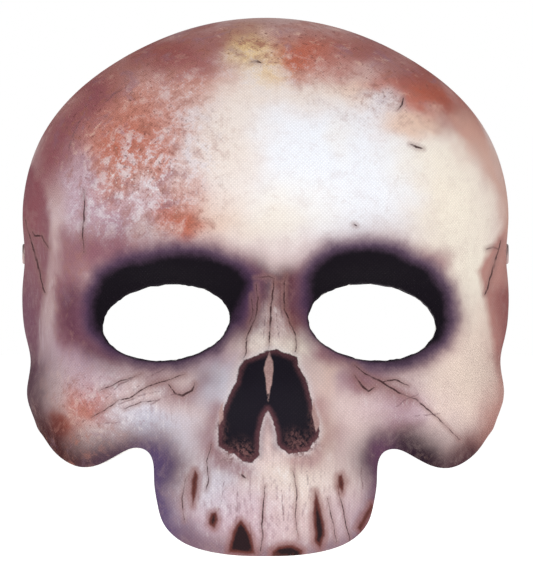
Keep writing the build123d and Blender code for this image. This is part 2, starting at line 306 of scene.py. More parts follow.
def refine(longest, near=None):
    """Halves the printed side's longer edges, or only those near the drawing's lines."""
    printed = [face for face in cloth.faces if facing(face) > 0.12]
    edges = list({edge for face in printed for edge in face.edges if edge.calc_length() > longest})
    if near is not None:
        middles = [(edge.verts[0].co + edge.verts[1].co) / 2 for edge in edges]
        x, z = front_view(middles)
        gap = np.minimum(-deepest_line(cracks, x, z), np.abs(deepest_shape([nasal_hole, *septum, *jaw_holes], x, z)))
        edges = [edge for edge, close in zip(edges, gap < near) if close]
    bmesh.ops.subdivide_edges(cloth, edges=edges, cuts=1)
    bmesh.ops.triangulate(cloth, faces=[face for face in cloth.faces if len(face.verts) > 3])
    cloth.normal_update()
    printed = [face for face in cloth.faces if facing(face) > 0.12]
    bmesh.ops.beautify_fill(cloth, faces=printed, edges=list({edge for face in printed for edge in face.edges}))
    cloth.normal_update()


refine(2.4 * mm)
refine(1.5 * mm)
cut_faces = [face for face in cloth.faces if abs(facing(face)) <= 0.12]
printed_verts = {vert for face in cloth.faces if facing(face) > 0.12 for vert in face.verts}
rim_verts = {vert for face in cut_faces for vert in face.verts}
for _ in range(4):
    bmesh.ops.smooth_vert(
        cloth, verts=list(printed_verts - rim_verts), factor=0.5, use_axis_x=True, use_axis_y=True, use_axis_z=True
    )
refine(0.9 * mm, near=1.6)
refine(0.5 * mm, near=0.8)
cut_faces = [face for face in cloth.faces if abs(facing(face)) <= 0.12]
for face in cut_faces:
    face.material_index = 1

# The die leaves the cloth a few tenths short or long of the foam, most of all at the left notch.
for vert in {vert for face in cut_faces for vert in face.verts}:
    x, z = vert.co.x / mm, vert.co.z / mm
    wander = noise.noise(vert.co / (2.4 * mm)) * 0.45 + noise.noise(vert.co / (0.8 * mm)) * 0.35
    if eye_gap(x, z) < 3:
        centre = Vector((math.copysign(eye_spacing / 2, x - eye_shift) + eye_shift, 0, 0)) * mm
        outward = (vert.co - centre) * Vector((1, 0, 1))
        vert.co += outward.normalized() * wander * mm
    elif x < -36 and -56 < z < -36:
        vert.co.z += 0.6 * mm * math.exp(-(((x + 52) / 14) ** 2))
skin = new_object("skull_print_cloth", cloth)

mesh = skin.data
place = np.empty(len(mesh.vertices) * 3)
mesh.vertices.foreach_get("co", place)
true_x, true_y, true_z = place.reshape(-1, 3).T / mm
X, Z = front_view(place)
soft_noise = np.array([noise.noise_vector(vert.co / (9 * mm)) for vert in mesh.vertices])
fine_noise = np.array([noise.noise_vector(vert.co / (3 * mm)) for vert in mesh.vertices])
wander_x = X + 3.4 * soft_noise[:, 0] + 1.2 * fine_noise[:, 0]
wander_z = Z + 3.4 * soft_noise[:, 2] + 1.2 * fine_noise[:, 2]
line_x, line_z = X + 0.35 * fine_noise[:, 0], Z + 0.35 * fine_noise[:, 1]


def store(name, values):
    """Keeps one number per point of the cloth for the material to read."""
    stored = mesh.attributes.new(name, "FLOAT", "POINT")
    stored.data.foreach_set("value", np.ascontiguousarray(values, np.float32))


def spots(*areas):
    """Soft ellipses (x, z, half width, half height, strength), laid over each other."""
    clear = np.ones(len(X))
    for x, z, wide, tall, strength in areas:
        clear *= 1 - strength * np.exp(-((((wander_x - x) / wide) ** 2 + ((wander_z - z) / tall) ** 2) ** 1.3))
    return 1 - clear


def ink(red, green, blue):
    """A print colour, given as it looks in even light."""
    share = np.array((red, green, blue)) / 255
    return np.where(share < 0.04045, share / 12.92, ((share + 0.055) / 1.055) ** 2.4)


# The tones, broad and light first, each with its soft spots (x, z, half width, half height, strength).
tones = (
    # A pale forehead: the print's own, partly a painted highlight above the brows.
    (ink(240, 242, 248), [(16, 60, 38, 26, 1.0), (38, 50, 26, 22, 0.95), (-4, 68, 15, 9, 0.6), (10, 46, 26, 14, 0.8)]),
    (ink(232, 214, 202), [
        (74, -6, 10, 20, 0.9), (70, -22, 14, 14, 0.9),
    ]),
    (ink(242, 233, 220), [
        (66, 40, 16, 26, 1.0), (72, 18, 11, 16, 1.0), (4, 40, 20, 10, 0.5),
        (58, 58, 14, 10, 0.7), (0, 34, 14, 6, 0.5), (10, -56, 14, 9, 0.5), (-4, 92, 9, 7, 0.4), (8, -10, 7, 5, 0.8), (21, -40, 4, 8, 0.7),
    ]),
    (ink(234, 222, 214), [(-14, 62, 13, 24, 0.9), (-10, 82, 15, 8, 0.85), (14, 83, 22, 8, 0.9), (1, -8, 9, 5, 0.9)]),
    (ink(228, 196, 176), [(52, 70, 13, 5, 0.8), (30, 82, 8, 5, 0.5), (-18, 36, 10, 8, 0.5), (22, -18, 5, 8, 0.4)]),
    (ink(194, 138, 126), [
        (-46, 70, 18, 19, 1.0), (-60, 70, 14, 18, 0.95), (-29, 44, 8, 8, 0.5), (-30, 35, 9, 6, 0.9),
        (-56, 46, 9, 14, 0.8), (-26, 86, 14, 8, 0.8), (-64, -26, 9, 8, 0.6), (20, 92, 16, 7, 0.9), (72, 68, 5, 9, 0.8),
    ]),
    (ink(150, 94, 94), [
        (-36, 95, 24, 8, 0.95), (-60, 84, 12, 9, 0.7), (-16, 101, 14, 6, 0.6), (36, 96, 18, 8, 0.8),
        (54, 86, 14, 7, 0.9), (66, 75, 7, 7, 0.9), (-74, 62, 6, 14, 0.8), (-30, 92, 14, 6, 0.5),
    ]),
    (ink(184, 98, 74), [(-74, -38, 8, 6, 0.9),
        (9, 93, 8, 6, 0.75), (58, 79, 11, 6, 0.85), (42, 84, 9, 4, 0.5), (-50, 62, 8, 8, 0.45), (14, 99, 14, 5, 0.6),
        (-36, 38, 6, 4, 0.6), (-28, 33, 6, 3, 0.6), (-38, 54, 4, 8, 0.4), (-64, -30, 7, 5, 0.6),
    ]),
    (ink(232, 202, 150), [(-6, 96, 9, 7, 0.75), (2, 88, 6, 4, 0.5), (26, 66, 5, 9, 0.12)]),
    (ink(188, 164, 178), [
        (-67, 46, 8, 15, 0.8), (-59, 37, 10, 8, 0.7), (-44, 42, 8, 6, 0.5), (-67, -10, 13, 12, 0.8), (-58, -22, 12, 7, 0.5),
        (-18, -13, 7, 5, 0.7), (48, -31, 11, 8, 0.7), (33, -20, 9, 5, 0.8), (-14, -70, 22, 12, 0.7), (30, -70, 12, 12, 0.5),
        (-52, 36, 5, 6, 0.6),
    ]),
    (ink(200, 202, 216), [(-42, -34, 12, 6, 0.8), (-19, -22, 8, 9, 0.75), (-18, -56, 10, 9, 0.6), (-28, -40, 9, 8, 0.5)]),
    # A dark mauve: partly the print, partly painted shade where the sides and cheeks turn away from the light.
    (ink(140, 94, 104), [
        (-71, 14, 6, 14, 0.9), (-68, 0, 7, 11, 1.0), (-70, 28, 6, 6, 0.6), (62, 22, 6, 6, 0.6), (22, -11, 7, 4, 0.7),
        (-64, 24, 7, 7, 0.7), (-20, -46, 5, 4, 0.4), (24, -40, 4, 7, 0.4), (32, -22, 6, 4, 0.5),
        (-58, -33, 5, 4, 0.4), (46, -38, 8, 5, 0.6),
    ]),
    (ink(58, 38, 54), [(-6, 12, 8, 9, 0.9), (10, 10, 6, 9, 0.9), (-10, 2, 5, 7, 0.7), (14, 2, 4, 8, 0.7), (2, 14, 9, 4, 0.6)]),
    (ink(150, 86, 80), [(8, 2, 3, 6, 0.7), (-2, 8, 2, 5, 0.3), (4, 10, 2, 5, 0.4)]),
)
# Shadows along the edges of the bone, each with its reach, strength and line. Some are
# the print's own; those along the outer rims, under the cheek lobes and down the jaw's side
# walls are painted shade where the form turns away from the light.
shades = (
    (ink(140, 90, 96), 6.5, 0.9, [(-60, 80), (-72, 66), (-80, 50), (-84, 36)]),
    (ink(150, 96, 90), 5.0, 0.5, [(-52, 88), (-30, 99), (0, 105), (30, 99), (52, 88), (68, 72)]),
    (ink(206, 168, 156), 4.0, 0.8, [(68, 72), (78, 58), (84, 44), (86, 34)]),
    (ink(118, 84, 98), 7.0, 0.9, [(-86, 6), (-85, -8), (-84.5, -16)]),
    (ink(84, 58, 70), 9.0, 1.0, [(-85.5, -18), (-85, -28), (-83, -36), (-79, -42)]),
    (ink(64, 28, 28), 11.0, 1.0, [(-82, -40), (-74, -48), (-64, -52), (-54, -51)]),
    (ink(76, 58, 70), 9.0, 1.0, [(-56, -50), (-48, -47), (-41, -47), (-37.5, -52)]),
    (ink(92, 76, 108), 8.0, 1.0, [(-39.5, -48), (-40, -60), (-37, -71), (-30, -79)]),
    (ink(190, 150, 142), 6.0, 0.9, [(85, 4), (86, -8), (85.5, -20), (84.5, -26), (81, -36), (76, -43)]),
    (ink(158, 114, 108), 7.0, 0.8, [(83, -34), (78, -43), (71, -49)]),
    (ink(66, 38, 46), 9.0, 1.0, [(52, -49), (58, -51), (65, -52), (71, -49)]),
    (ink(40, 26, 36), 9.0, 1.0, [(40, -49), (43, -46), (48, -45), (54, -48)]),
    (ink(96, 66, 88), 6.0, 1.0, [(40.5, -46), (40.5, -58), (39, -67), (33, -77)]),
    (ink(122, 98, 110), 5.5, 0.85, [(-28, -78), (-13, -82), (0, -83), (13, -82), (26, -80)]),
    (ink(140, 106, 114), 4.0, 0.7, [(-17.5, -30), (-20, -40), (-16, -49), (-9, -52)]),
    (ink(160, 118, 118), 3.5, 0.6, [(18, -28), (21, -38), (18, -48), (10, -49)]),
    (ink(84, 52, 68), 6.0, 0.9, [(-66.5, 8), (-67, 0), (-62, -8), (-54, -11)]),
    (ink(140, 92, 92), 5.0, 0.95, [(84.5, 8), (85, -12)]),
    (ink(126, 74, 90), 8.0, 0.8, [(-58, 25), (-52, 27)]),
    (ink(62, 42, 60), 6.5, 0.9, [(-4.5, 15), (-5, 10), (-7, 3)]),
    (ink(84, 50, 58), 6.0, 0.9, [(9, 15), (9.5, 9), (12, 2)]),
    (ink(104, 70, 76), 1.8, 0.75, [(-2.6, -46), (-1.8, -40), (0.4, -31), (3.0, -39), (3.6, -44)]),
    (ink(128, 92, 100), 4.5, 0.6, [(-40, -20), (-34, -25), (-27, -26), (-22, -20)]),
    (ink(136, 98, 100), 4.5, 0.7, [(30, -17), (34, -22), (40, -23), (48, -27)]),
)
tone = np.tile(ink(214, 194, 192), (len(X), 1))
for colour, areas in tones:
    share = spots(*areas)[:, None]
    tone = tone * (1 - share) + colour * share
# Temple zones: the print's temple hollows, darkened further with painted shade where the sides turn away from the
# light.
for shape, colour in zip(temples, (ink(128, 84, 94), ink(176, 130, 124))):
    share = np.clip(0.5 + depth_in_shape(shape, line_x, line_z) / 2.4, 0, 1)[:, None] * 0.92
    tone = tone * (1 - share) + colour * share
# Lay the printed shadows and the painted shade along their lines.
for colour, reach, strength, points in shades:
    gap, _ = hypotenuse_to(points, 0.5 * (X + wander_x), 0.5 * (Z + wander_z))
    share = strength * np.exp(-((gap / reach) ** 2))[:, None]
    tone = tone * (1 - share) + colour * share
stored = mesh.attributes.new("tone", "FLOAT_COLOR", "POINT")
stored.data.foreach_set("color", np.c_[tone, np.ones(len(tone))].astype(np.float32).ravel())

store("stain", spots(
    (-44, 64, 24, 34, 1.0), (-62, 70, 16, 22, 0.9), (0, 99, 60, 9, 1.0), (50, 84, 24, 13, 0.9), (-66, -28, 12, 14, 0.7),
    (-70, -44, 13, 9, 0.8), (-30, 36, 12, 10, 0.9), (-68, 12, 9, 18, 0.5), (0, 8, 12, 12, 0.4), (20, 90, 16, 8, 0.5),
))
store("chalk", spots(
    (-42, 50, 16, 18, 1.0), (-26, 62, 10, 16, 0.8), (-60, 42, 12, 12, 0.7), (-30, 80, 14, 8, 0.4), (-52, -28, 14, 10, 0.6),
    (0, 88, 20, 8, 0.5), (-10, -60, 26, 14, 0.3),
))
store("bone_grain", spots((0, -62, 36, 20, 1.0), (-44, -30, 18, 12, 0.8), (0, 4, 10, 14, 0.8), (46, -26, 18, 10, 0.5), (-82, 10, 8, 30, 0.6)))
store("crack", deepest_line(cracks, line_x, line_z))
store("hairline", deepest_line(eyelash_cracks, line_x, line_z))
store("nasal", depth_in_shape(nasal_hole, X, Z))
store("septum", deepest_shape(septum, line_x, line_z))
store("nasal_floor", spots((-10, -46, 6, 4, 1.0), (-15.5, -38, 2.5, 6, 0.6), (12, -43.5, 6, 4, 1.0), (16.5, -34, 2, 6, 0.6)))
store("jaw_hole", deepest_shape(jaw_holes, line_x, line_z))
store("socket", deepest_shape(sockets, X + 1.4 * soft_noise[:, 0], Z + 1.4 * soft_noise[:, 1]))
store("eye_gap", eye_gap(true_x, true_z))

# The weave follows the cloth: its spread over the form widens towards the sides.
turn = np.arctan2(np.hypot(true_x / 86, (true_z - 20) / np.where(true_z > 20, 86, 155)), (rivet_axis.y / mm - 3 - true_y) / 54)
stretch = 1 + 0.12 * turn**2
weave_map = mesh.uv_layers.new(name="weave")
corner = np.empty(len(mesh.loops), np.int32)
mesh.loops.foreach_get("vertex_index", corner)
flat = np.stack([true_x * stretch, (true_z - 20) * stretch], axis=1)[corner] * mm
weave_map.data.foreach_set("uv", flat.astype(np.float32).ravel())


def add(tree, kind, inputs=None, **settings):
    """A node with its settings and input values or links."""
    made = tree.nodes.new(kind)
    for name, value in settings.items():
        setattr(made, name, value)
    for name, value in (inputs or {}).items():
        if isinstance(value, bpy.types.NodeSocket):
            tree.links.new(value, made.inputs[name])
        else:
            made.inputs[name].default_value = value
    return made


def calculate(tree, operation, *values):
    """A math node's result."""
    return add(tree, "ShaderNodeMath", dict(enumerate(values)), operation=operation).outputs[0]


def step_between(tree, value, start, end):
    """0 below start, 1 above end, smooth between; start may be above end."""
    made = add(tree, "ShaderNodeMapRange", {"Value": value}, interpolation_type="SMOOTHSTEP")
    flip = start > end
    made.inputs["From Min"].default_value = end if flip else start
    made.inputs["From Max"].default_value = start if flip else end
    made.inputs["To Min"].default_value = 1.0 if flip else 0.0
    made.inputs["To Max"].default_value = 0.0 if flip else 1.0
    return made.outputs["Result"]


def blend(tree, share, below, above, blend_type="MIX"):
    """Two colours mixed by a share."""
    made = add(tree, "ShaderNodeMix", data_type="RGBA", blend_type=blend_type)
    for socket, value in ((made.inputs[0], share), (made.inputs[6], below), (made.inputs[7], above)):
        if isinstance(value, bpy.types.NodeSocket):
            tree.links.new(value, socket)
        elif isinstance(value, tuple):
            socket.default_value = (*value, 1)
        else:
            socket.default_value = value
    return made.outputs[2]


def mottle(tree, where, size, detail=6.0, rough=0.6, distort=0.0):
    """Noise with features about size millimetres across."""
    made = add(tree, "ShaderNodeTexNoise", {
        "Vector": where, "Scale": 1 / (size * mm), "Detail": detail, "Roughness": rough,
        "Distortion": distort,
    })
    return made.outputs["Fac"]


def woven_group():
    """Plain weave: over and under threads as height, and the light and dark that they give."""
    group = bpy.data.node_groups.new("plain_weave", "ShaderNodeTree")
    group.interface.new_socket("Vector", in_out="INPUT", socket_type="NodeSocketVector")
    pitch = group.interface.new_socket("Threads per metre", in_out="INPUT", socket_type="NodeSocketFloat")
    pitch.default_value = 1500
    for name in ("Height", "Shade"):
        group.interface.new_socket(name, in_out="OUTPUT", socket_type="NodeSocketFloat")
    start = group.nodes.new("NodeGroupInput")
    finish = group.nodes.new("NodeGroupOutput")
    wander = add(group, "ShaderNodeTexNoise", {"Vector": start.outputs["Vector"], "Scale": 120.0, "Detail": 2.0})
    nudge = add(group, "ShaderNodeVectorMath", {0: wander.outputs["Color"], 1: (0.0012,) * 3}, operation="MULTIPLY")
    moved = add(group, "ShaderNodeVectorMath", {0: start.outputs["Vector"], 1: nudge.outputs[0]}, operation="ADD")
    parts = add(group, "ShaderNodeSeparateXYZ", {0: moved.outputs[0]})
    phases = [
        calculate(group, "MULTIPLY", calculate(group, "MULTIPLY", parts.outputs[axis], start.outputs[1]), math.pi)
        for axis in (0, 1)
    ]
    waves = [calculate(group, "SINE", phase) for phase in phases]
    crossing = calculate(group, "MULTIPLY", waves[0], waves[1])
    ribs = [calculate(group, "ABSOLUTE", wave) for wave in waves]
    gaps = calculate(group, "MINIMUM", ribs[0], ribs[1])
    uneven = add(group, "ShaderNodeTexNoise", {"Vector": start.outputs["Vector"], "Scale": 2600.0, "Detail": 1.0})
    height = calculate(group, "MULTIPLY_ADD", crossing, 0.35, calculate(group, "MULTIPLY", gaps, 0.5))
    height = calculate(group, "MULTIPLY_ADD", uneven.outputs["Fac"], 0.3, height)
    group.links.new(height, finish.inputs["Height"])
    group.links.new(step_between(group, height, -0.1, 0.75), finish.inputs["Shade"])
    return group


weave = woven_group()


def weave_in(tree, where, threads_per_metre):
    """The weave placed in a material."""
    made = add(tree, "ShaderNodeGroup", node_tree=weave)
    tree.links.new(where, made.inputs[0])
    made.inputs[1].default_value = threads_per_metre
    return made


def bump(tree, height, depth, strength=1.0):
    """A normal from a height, with its full depth in millimetres."""
    return add(tree, "ShaderNodeBump", {"Height": height, "Distance": depth * mm, "Strength": strength}).outputs[0]


def print_material():
    """The skull print on the woven cloth."""
    material, tree, shader = new_material("printed_cloth", 0.62)
    where = add(tree, "ShaderNodeTexCoord").outputs["Object"]

    def read(name):
        return add(tree, "ShaderNodeAttribute", attribute_name=name).outputs["Fac"]

    cloud = mottle(tree, where, 11, 8, 0.65, 0.6)
    patch = mottle(tree, where, 5, 10, 0.72, 0.4)
    fine = mottle(tree, where, 1.3, 8, 0.7)
    grit = mottle(tree, where, 0.6, 3, 0.6)
    upright = add(tree, "ShaderNodeMapping", {"Vector": where, "Scale": (1.0, 1.0, 0.25)}).outputs[0]
    grain = mottle(tree, upright, 1.5, 6, 0.65)
    bone = add(tree, "ShaderNodeAttribute", attribute_name="tone").outputs["Color"]

    # Stained bone is blotched: darker and redder in ragged patches, chalky where it has worn.
    lit = step_between(tree, add(tree, "ShaderNodeRGBToBW", {0: bone}).outputs[0], 0.05, 0.30)
    stain, chalk = read("stain"), calculate(tree, "MULTIPLY", read("chalk"), lit)
    blotch = calculate(tree, "MULTIPLY", stain, step_between(tree, patch, 0.50, 0.66))
    bone = blend(tree, calculate(tree, "MULTIPLY", blotch, 0.78), bone, (0.30, 0.10, 0.07))
    cool = calculate(tree, "MULTIPLY", stain, step_between(tree, cloud, 0.52, 0.68))
    bone = blend(tree, calculate(tree, "MULTIPLY", cool, 0.5), bone, (0.27, 0.17, 0.23))
    light = calculate(tree, "MULTIPLY", calculate(tree, "MULTIPLY", stain, lit), step_between(tree, patch, 0.46, 0.34))
    bone = blend(tree, calculate(tree, "MULTIPLY", light, 0.5), bone, (0.80, 0.58, 0.48))
    worn = calculate(tree, "MULTIPLY", chalk, step_between(tree, patch, 0.52, 0.42))
    bone = blend(tree, calculate(tree, "MULTIPLY", worn, 0.7), bone, (0.72, 0.68, 0.72))
    flake = calculate(tree, "MULTIPLY", chalk, step_between(tree, fine, 0.56, 0.66))
    bone = blend(tree, calculate(tree, "MULTIPLY", flake, 0.8), bone, (0.84, 0.80, 0.80))
    specks = calculate(tree, "MULTIPLY", stain, step_between(tree, fine, 0.45, 0.35))
    bone = blend(tree, calculate(tree, "MULTIPLY", specks, 0.72), bone, (0.14, 0.05, 0.045))
    pits = calculate(tree, "MULTIPLY", calculate(tree, "MAXIMUM", stain, read("bone_grain")), step_between(tree, grit, 0.66, 0.74))
    bone = blend(tree, calculate(tree, "MULTIPLY", pits, 0.5), bone, (0.14, 0.07, 0.07))
    fibres = calculate(tree, "MULTIPLY", read("bone_grain"), step_between(tree, grain, 0.48, 0.36))
    bone = blend(tree, calculate(tree, "MULTIPLY", fibres, 0.5), bone, (0.30, 0.20, 0.22))
    pale_fibres = calculate(tree, "MULTIPLY", calculate(tree, "MULTIPLY", read("bone_grain"), lit), step_between(tree, grain, 0.54, 0.66))
    bone = blend(tree, calculate(tree, "MULTIPLY", pale_fibres, 0.4), bone, (0.84, 0.80, 0.80))
    faint = calculate(tree, "MULTIPLY", step_between(tree, patch, 0.46, 0.66), 0.15)
    bone = blend(tree, faint, bone, (0.50, 0.38, 0.36))
    dust = calculate(tree, "MULTIPLY", step_between(tree, fine, 0.50, 0.36), step_between(tree, cloud, 0.40, 0.60))
    bone = blend(tree, calculate(tree, "MULTIPLY", dust, 0.13), bone, (0.40, 0.27, 0.22))

    # Sockets: rust violet, then plum, then near black towards the opening.
    fray = calculate(tree, "MULTIPLY_ADD", patch, 3.0, calculate(tree, "MULTIPLY_ADD", fine, 2.0, -2.5))
    socket = calculate(tree, "ADD", read("socket"), fray)
    bone = blend(tree, calculate(tree, "MULTIPLY", step_between(tree, socket, -6.5, 0.5), 0.6), bone, (0.22, 0.11, 0.14))
    bone = blend(tree, calculate(tree, "MULTIPLY", step_between(tree, socket, -3.2, 2.6), 0.9), bone, (0.065, 0.036, 0.075))
    bone = blend(tree, step_between(tree, socket, 0.6, 5.6), bone, (0.006, 0.004, 0.007))

    # Sutures, cracks and hairlines.
    jitter = calculate(tree, "MULTIPLY_ADD", fine, 0.5, -0.25)
    crack = calculate(tree, "ADD", read("crack"), jitter)
    open_share = calculate(tree, "MULTIPLY_ADD", step_between(tree, mottle(tree, where, 4, 3), 0.36, 0.56), 0.6, 0.32)
    bone = blend(tree, calculate(tree, "MULTIPLY", step_between(tree, crack, -1.8, -0.1), 0.4), bone, (0.28, 0.16, 0.15))
    bone = blend(tree, calculate(tree, "MULTIPLY", step_between(tree, crack, -0.16, 0.10), open_share), bone, (0.05, 0.024, 0.026))
    hair = calculate(tree, "ADD", read("hairline"), jitter)
    bone = blend(tree, calculate(tree, "MULTIPLY", step_between(tree, hair, -0.30, 0.0), 0.5), bone, (0.14, 0.08, 0.09))

    # Nose aperture, with the septum left in it, and the empty tooth sockets.
    rag = calculate(tree, "MULTIPLY_ADD", patch, 1.6, calculate(tree, "MULTIPLY_ADD", fine, 1.4, -1.5))
    nasal = calculate(tree, "ADD", read("nasal"), rag)
    bone = blend(tree, calculate(tree, "MULTIPLY", step_between(tree, nasal, -2.4, -0.5), 0.35), bone, (0.72, 0.68, 0.70))
    bone = blend(tree, step_between(tree, nasal, -0.45, 0.15), bone, (0.010, 0.008, 0.013))
    bone = blend(tree, calculate(tree, "MULTIPLY", read("nasal_floor"), step_between(tree, fine, 0.40, 0.62)), bone, (0.17, 0.09, 0.09))
    lip = calculate(tree, "MULTIPLY", step_between(tree, nasal, 2.4, 0.2), step_between(tree, nasal, -0.4, 0.2))
    bone = blend(tree, calculate(tree, "MULTIPLY", lip, 0.45), bone, (0.18, 0.08, 0.09))
    septum_depth = calculate(tree, "ADD", read("septum"), jitter)
    spindle = blend(tree, fine, (0.26, 0.14, 0.14), (0.62, 0.46, 0.43))
    bone = blend(tree, calculate(tree, "MULTIPLY", step_between(tree, septum_depth, -0.3, 0.3), 0.9), bone, spindle)
    hole = calculate(tree, "ADD", read("jaw_hole"), calculate(tree, "MULTIPLY", jitter, 1.6))
    bone = blend(tree, calculate(tree, "MULTIPLY", step_between(tree, hole, -2.6, -0.3), 0.6), bone, (0.27, 0.13, 0.12))
    bone = blend(tree, step_between(tree, hole, -0.5, 0.6), bone, (0.13, 0.05, 0.045))
    bone = blend(tree, step_between(tree, hole, 0.5, 1.5), bone, (0.022, 0.012, 0.014))

    # Cloth: painted shade darkens the weave between its threads; eye edges are soaked and fuzzy.
    cloth_weave = weave_in(tree, add(tree, "ShaderNodeUVMap", uv_map="weave").outputs[0], 1520)
    dim = calculate(tree, "MULTIPLY_ADD", cloth_weave.outputs["Shade"], 0.22, 0.84)
    gray = add(tree, "ShaderNodeCombineColor", {"Red": dim, "Green": dim, "Blue": dim}).outputs[0]
    bone = blend(tree, 1.0, bone, gray, "MULTIPLY")
    fuzz = step_between(tree, calculate(tree, "ADD", read("eye_gap"), fine), 1.5, 0.6)
    bone = blend(tree, calculate(tree, "MULTIPLY", fuzz, 0.75), bone, (0.014, 0.011, 0.015))
    bone = add(tree, "ShaderNodeHueSaturation", {"Color": bone, "Saturation": 1.14}).outputs[0]
    tree.links.new(bone, shader.inputs["Base Color"])
    tree.links.new(calculate(tree, "MULTIPLY_ADD", cloth_weave.outputs["Shade"], -0.12, 0.76), shader.inputs["Roughness"])
    shader.inputs["Specular IOR Level"].default_value = 0.07
    relief = calculate(tree, "MULTIPLY_ADD", calculate(tree, "MAXIMUM", crack, -0.6), -0.5, cloth_weave.outputs["Height"])
    tree.links.new(bump(tree, relief, 0.08), shader.inputs["Normal"])
    return material


def thread_end_material():
    """Pale ends of the cut threads, dark where the eye openings are printed black."""
    material, tree, shader = new_material("cut_threads", 0.85)
    where = add(tree, "ShaderNodeTexCoord").outputs["Object"]
    ends = mottle(tree, where, 0.35, 3, 0.6)
    near_eye = add(tree, "ShaderNodeAttribute", attribute_name="eye_gap").outputs["Fac"]
    pale = blend(tree, ends, (0.45, 0.38, 0.36), (0.88, 0.84, 0.80))
    dark = blend(tree, ends, (0.01, 0.008, 0.012), (0.10, 0.08, 0.10))
    tree.links.new(blend(tree, step_between(tree, near_eye, 3.0, 1.5), pale, dark), shader.inputs["Base Color"])
    tree.links.new(bump(tree, ends, 0.12), shader.inputs["Normal"])
    return material


skin.data.materials.append(print_material())
skin.data.materials.append(thread_end_material())
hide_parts("printed_skin")
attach(skin, "shell")

# ---- Foam core ----------------------------------------------------------------------------
# White closed-cell foam sheet, heat-moulded to the skull form. It shows only as a pale
# line round the cut edges, where the die has opened its cells.
foam_material, tree, shader = new_material("white_foam", 0.7)
where = add(tree, "ShaderNodeTexCoord").outputs["Object"]
cells = add(tree, "ShaderNodeTexVoronoi", {"Vector": where, "Scale": 3200.0}, feature="F1").outputs["Distance"]
tint = mottle(tree, where, 9, 4)
foam_colour = blend(tree, tint, (0.78, 0.76, 0.72), (0.93, 0.92, 0.90))
# The opened cells are darker in their hollows: painted shade.
foam_colour = blend(tree, calculate(tree, "MULTIPLY", step_between(tree, cells, 0.45, 0.1), 0.25), foam_colour, (0.55, 0.53, 0.50))
tree.links.new(foam_colour, shader.inputs["Base Color"])
tree.links.new(bump(tree, cells, 0.15), shader.inputs["Normal"])
frame["nodes"]["foam_core"].data.materials[0] = foam_material

# ---- Lining -------------------------------------------------------------------------------
# Off-white needled non-woven, bonded to the foam's inner face. Its fibres lie every way,
# and it greys a little in broad patches of wear.
lining_material, tree, shader = new_material("felted_lining", 0.92)
where = add(tree, "ShaderNodeTexCoord").outputs["Object"]
fibre_a = add(tree, "ShaderNodeMapping", {"Vector": where, "Rotation": (0.4, 0.2, 0.7), "Scale": (1, 1, 0.18)}).outputs[0]
fibre_b = add(tree, "ShaderNodeMapping", {"Vector": where, "Rotation": (-0.5, 0.3, -0.9), "Scale": (0.2, 1, 1)}).outputs[0]
fibres = calculate(tree, "ADD", mottle(tree, fibre_a, 0.5, 4, 0.7), mottle(tree, fibre_b, 0.6, 4, 0.7))
dots = add(tree, "ShaderNodeTexVoronoi", {"Vector": where, "Scale": 420.0, "Randomness": 0.25}, feature="F1").outputs["Distance"]
dimple = step_between(tree, dots, 0.34, 0.12)
wear = mottle(tree, where, 30, 4)
felt = blend(tree, step_between(tree, fibres, 0.7, 1.3), (0.58, 0.56, 0.52), (0.84, 0.83, 0.79))
# The needle dimples are darker: painted shade in their hollows.
felt = blend(tree, calculate(tree, "MULTIPLY", dimple, 0.22), felt, (0.50, 0.48, 0.45))
felt = blend(tree, calculate(tree, "MULTIPLY", step_between(tree, wear, 0.5, 0.75), 0.25), felt, (0.60, 0.54, 0.48))
tree.links.new(felt, shader.inputs["Base Color"])
shader.inputs["Sheen Weight"].default_value = 0.3
felt_height = calculate(tree, "MULTIPLY_ADD", dimple, -0.8, fibres)
tree.links.new(bump(tree, felt_height, 0.14), shader.inputs["Normal"])
frame["nodes"]["inner_lining"].data.materials[0] = lining_material

# ---- Strap --------------------------------------------------------------------------------
# Flat braided elastic, ten millimetres wide, both ends doubled over where the rivets pass.
# It is extruded station by station along the band, with a cord rolled into each edge.
strap_low, strap_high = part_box("elastic_strap")
strap_width, strap_thick, ply_gap = 10.0 * mm, 1.2 * mm, 0.1 * mm
droop = math.radians(-3)
tail, leg, bow_reach = 8.0 * mm, 14.0 * mm, 62.0 * mm
tail_face = strap_high.x
leg_middle = tail_face - 1.5 * strap_thick - ply_gap
hole_radius = 1.62 * mm


def station(x, y, heading):
    """Where the band's middle line passes, level, and the way it runs."""
    return Vector((x, y, 0)), heading


stations = []
tail_middle = tail_face - strap_thick / 2
for share in (1, 0.75, 0.5, 0.25, 0, -0.25, -0.5, -0.75, -1):
    stations.append(station(tail_middle, share * tail, Vector((0, -1, 0))))
fold_radius = (tail_middle - leg_middle) / 2
for step in range(1, 8):
    turn = math.pi * step / 8
    x = leg_middle + fold_radius * (1 + math.cos(turn))
    stations.append(station(x, -tail - fold_radius * math.sin(turn), Vector((-math.sin(turn), -math.cos(turn), 0))))
for step in range(12):
    y = -tail + (tail + leg) * step / 12
    stations.append(station(leg_middle, y, Vector((0, 1, 0))))
for step in range(61):
    turn = math.pi / 2 * step / 60
    x, y = leg_middle * math.cos(turn), leg + (bow_reach - strap_thick / 2) * math.sin(turn)
    heading = Vector((-leg_middle * math.sin(turn), bow_reach * math.cos(turn), 0)).normalized()
    stations.append(station(x, y, heading))

